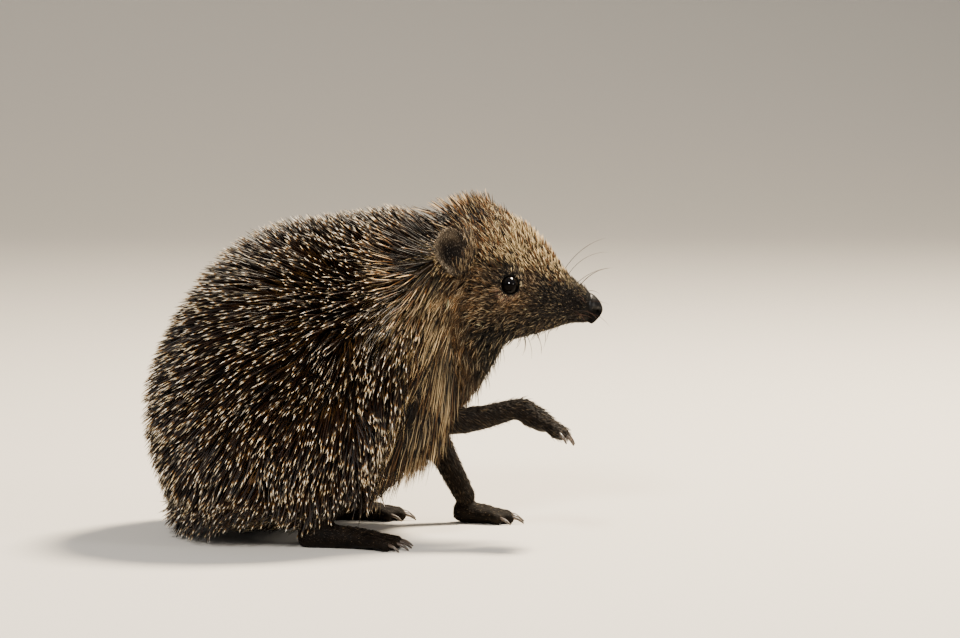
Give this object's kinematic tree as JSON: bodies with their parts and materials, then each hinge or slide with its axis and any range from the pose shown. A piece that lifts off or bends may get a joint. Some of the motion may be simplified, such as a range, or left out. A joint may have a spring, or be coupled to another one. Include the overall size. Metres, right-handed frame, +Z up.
{
  "type": "hedgehog",
  "caption": "Still life-size European hedgehog, forequarters raised and one forepaw lifted: rounded spiny back, cone-shaped furred head with round ears, small clawed feet.",
  "frame": {"origin": "on the floor, below the middle of the animal's bounding box", "axes": "+X towards the nose, +Y towards the animal's left side, +Z up"},
  "size_m": [0.1667, 0.1168, 0.1233],
  "materials": {
    "spiny_coat": "dark brown keratin spines with cream bands and tips over coarse hair",
    "coarse_fur": "coarse matt hair, tan on the brow and skirt, dark brown on the muzzle",
    "bare_skin": "thin dark grey-brown skin with sparse short hair",
    "nose_leather": "moist black leather, finely pebbled",
    "eye": "wet, glossy black",
    "claw_horn": "dull translucent grey-brown horn"
  },
  "bodies": {
    "root": {"trunk": "spiny_coat", "neck": "spiny_coat", "head": "coarse_fur", "lower_jaw": "coarse_fur", "nose": "nose_leather", "tail": "bare_skin", "ear_left": "bare_skin", "eye_left": "eye", "foreleg_left": "bare_skin", "forefoot_left": "bare_skin", "hindleg_left": "bare_skin", "hindfoot_left": "bare_skin", "forefoot_left_claw_1": "claw_horn", "forefoot_left_claw_2": "claw_horn", "forefoot_left_claw_3": "claw_horn", "forefoot_left_claw_4": "claw_horn", "forefoot_left_claw_5": "claw_horn", "hindfoot_left_claw_1": "claw_horn", "hindfoot_left_claw_2": "claw_horn", "hindfoot_left_claw_3": "claw_horn", "hindfoot_left_claw_4": "claw_horn", "hindfoot_left_claw_5": "claw_horn", "ear_right": "bare_skin", "eye_right": "eye", "foreleg_right": "bare_skin", "forefoot_right": "bare_skin", "hindleg_right": "bare_skin", "hindfoot_right": "bare_skin", "forefoot_right_claw_1": "claw_horn", "forefoot_right_claw_2": "claw_horn", "forefoot_right_claw_3": "claw_horn", "forefoot_right_claw_4": "claw_horn", "forefoot_right_claw_5": "claw_horn", "hindfoot_right_claw_1": "claw_horn", "hindfoot_right_claw_2": "claw_horn", "hindfoot_right_claw_3": "claw_horn", "hindfoot_right_claw_4": "claw_horn", "hindfoot_right_claw_5": "claw_horn"}
  },
  "joints": []
}
